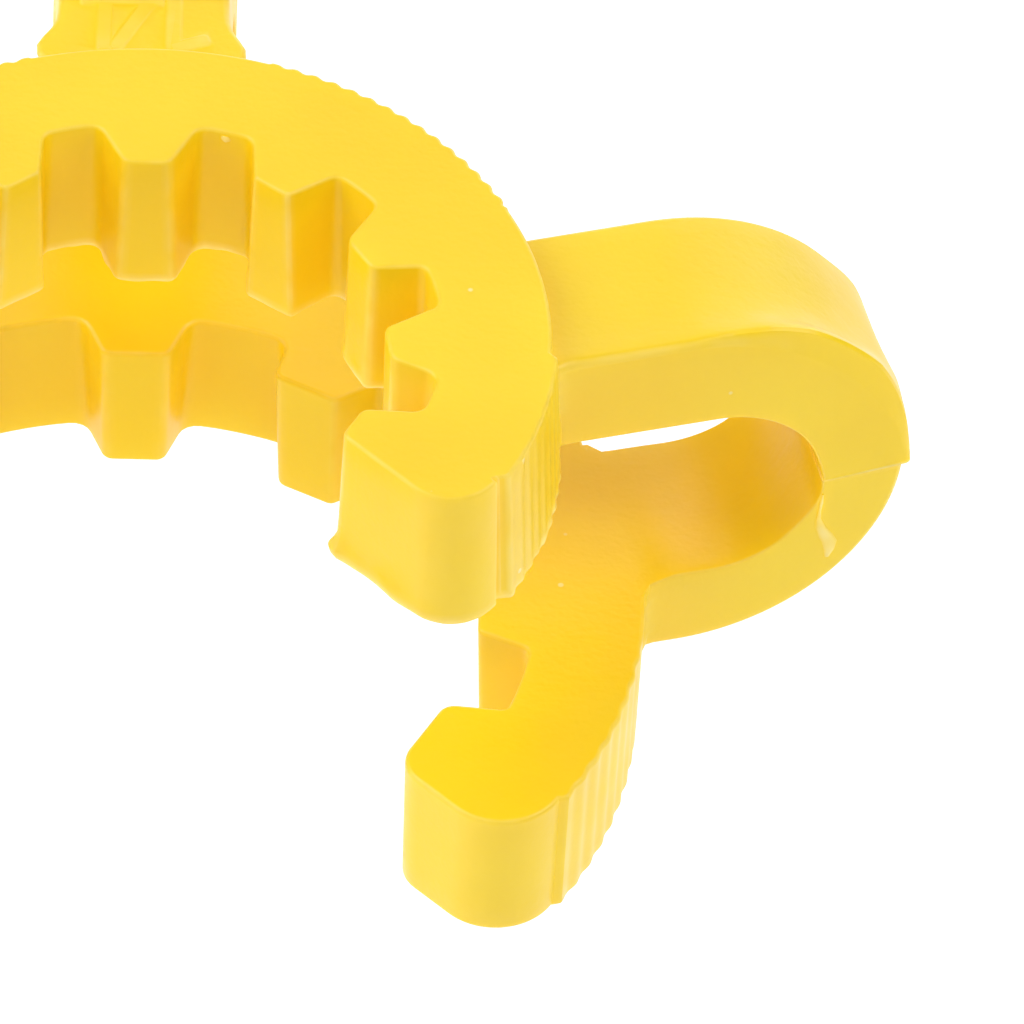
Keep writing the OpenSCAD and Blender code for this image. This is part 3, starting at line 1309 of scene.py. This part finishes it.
    def build(self) -> Solid:
        """Makes the clip's mesh and lets it stand for the CAD node.

        Returns:
            The finished clip.
        """
        parts = [ring.build() for ring in self.rings()]
        parts += [bow.build() for bow in self.bows()]
        parts += SizeNumber().build()
        parts += [mark.build() for mark in self.marks()]
        for part in parts:
            log.info("%s: %d faces", part.name, len(part.data.polygons))
        body, others = parts[0], parts[1:]
        fuse(body, others)
        body.name = body.data.name = "clip_moulding"
        self.smooth(body)
        body.data.materials.clear()
        body.data.materials.append(MouldedAcetal().make())
        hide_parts("clip")
        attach(body, "root")
        log.info("%s: %d faces after the union", body.name, len(body.data.polygons))
        return body

    def smooth(self, body: Solid) -> None:
        """Shades the clip smoothly, with flat faces kept flat.

        Args:
            body: The clip.
        """
        activate(body)
        bpy.ops.object.shade_smooth_by_angle(angle=math.radians(34))
        weighted = body.modifiers.new("weighted", "WEIGHTED_NORMAL")
        weighted.keep_sharp = True
        bpy.ops.object.modifier_apply(modifier=weighted.name)


# Studio


@dataclass(frozen=True)
class Lamp:
    """Soft square light that faces the clip.

    The bearing is 0 in front of the mouth and 90 on the right, and the height
    is an angle too. The power is in watts, distance and size are in metres.
    """

    name: str
    bearing: float
    height: float
    power: float
    distance: float = 0.5
    size: float = 0.35

    def hang(self) -> None:
        """Hangs the light."""
        data = bpy.data.lights.new(self.name, "AREA")
        data.shape = "SQUARE"
        data.size = self.size
        data.energy = self.power
        obj = bpy.data.objects.new(self.name, data)
        bpy.context.scene.collection.objects.link(obj)
        out = Vector((*polar(math.cos(math.radians(self.height)), self.bearing - 90), 0))
        out.z = math.sin(math.radians(self.height))
        obj.location = out * self.distance
        obj.rotation_mode = "QUATERNION"
        obj.rotation_quaternion = (-out).to_track_quat("-Z", "Y")


@dataclass
class Studio:
    """White floor and surround, soft light, and the camera.

    The camera's angles are in degrees. It looks at the point aim, moved by
    aim_right and aim_up across its view, from a distance, all in millimetres.
    """

    bearing: float = 0.278
    elevation: float = 44.751
    roll: float = 1.589
    distance: float = 1200
    lens: float = 1660.6
    sensor: float = 36
    aim: tuple[float, float, float] = (0, 0, 13.6)
    aim_right: float = 9.382
    aim_up: float = -4.571
    # Side of the floor in metres, and its level just under the clip in millimetres
    floor_size: float = 6
    floor_z: float = -0.02
    floor_glow: float = 1.25
    world_glow: float = 0.14
    lamps: tuple[Lamp, ...] = (
        Lamp("front", 0, 50, 0.53),
        Lamp("right", 90, 50, 1.14),
        Lamp("back", 180, 50, 0.29),
        Lamp("left", 270, 50, 1.07),
        Lamp("back_low", 165, 15, 0.56),
        Lamp("left_low", 270, 15, 0.75),
    )

    def camera(self) -> None:
        """Places the camera: nearly parallel rays, looking down over the mouth."""
        elevation = math.radians(self.elevation)
        ahead = Vector((*polar(math.cos(elevation), 90 - self.bearing), -math.sin(elevation)))
        side = Vector((*polar(1, -self.bearing), 0))
        rise = side.cross(ahead)
        roll = math.radians(self.roll)
        right = side * math.cos(roll) + rise * math.sin(roll)
        up = rise * math.cos(roll) - side * math.sin(roll)
        place = Vector(self.aim) - ahead * self.distance + right * self.aim_right + up * self.aim_up
        data = bpy.data.cameras.new("camera")
        data.lens = self.lens
        data.sensor_width = self.sensor
        data.clip_start = 0.05
        data.clip_end = 20
        obj = bpy.data.objects.new("camera", data)
        bpy.context.scene.collection.objects.link(obj)
        turn = Matrix((right, up, -ahead)).transposed().to_4x4()
        obj.matrix_world = Matrix.Translation(place * MM) @ turn
        bpy.context.scene.camera = obj

    def floor(self) -> None:
        """Lays the floor: an evenly lit white sheet, clear from below so that the underside shows."""
        bpy.ops.object.select_all(action="DESELECT")
        bpy.ops.mesh.primitive_plane_add(size=self.floor_size, location=(0, 0, self.floor_z * MM))
        obj = bpy.context.object
        obj.name = "floor"
        material = bpy.data.materials.new("lit_white_sheet")
        material.use_nodes = True
        tree = material.node_tree
        shader = tree.nodes["Principled BSDF"]
        shader.inputs["Base Color"].default_value = linear("#000000")
        shader.inputs["Roughness"].default_value = 0.9
        shader.inputs["Emission Color"].default_value = linear("#FFFFFF")
        shader.inputs["Emission Strength"].default_value = self.floor_glow
        clear = add_node(tree, "BsdfTransparent", {})
        under = add_node(tree, "NewGeometry", {}).outputs["Backfacing"]
        sides = add_node(tree, "MixShader", {0: under, 1: shader.outputs["BSDF"], 2: clear.outputs["BSDF"]})
        tree.links.new(sides.outputs["Shader"], tree.nodes["Material Output"].inputs["Surface"])
        obj.data.materials.append(material)

    def surround(self) -> None:
        """Gives the world a plain white light."""
        world = bpy.data.worlds.new("white")
        world.use_nodes = True
        background = world.node_tree.nodes["Background"]
        background.inputs["Color"].default_value = linear("#FFFFFF")
        background.inputs["Strength"].default_value = self.world_glow
        bpy.context.scene.world = world

    def build(self) -> None:
        """Sets up everything round the clip."""
        bpy.context.scene.view_settings.view_transform = "Standard"
        self.camera()
        self.floor()
        self.surround()
        for lamp in self.lamps:
            lamp.hang()


def main() -> None:
    """Builds the clip and the studio."""
    logging.basicConfig(level=logging.INFO, format="%(message)s", stream=sys.stdout)
    clip = Clip().build()
    log.info("built %s", clip.name)
    Studio().build()


if __name__ == "__main__":
    main()
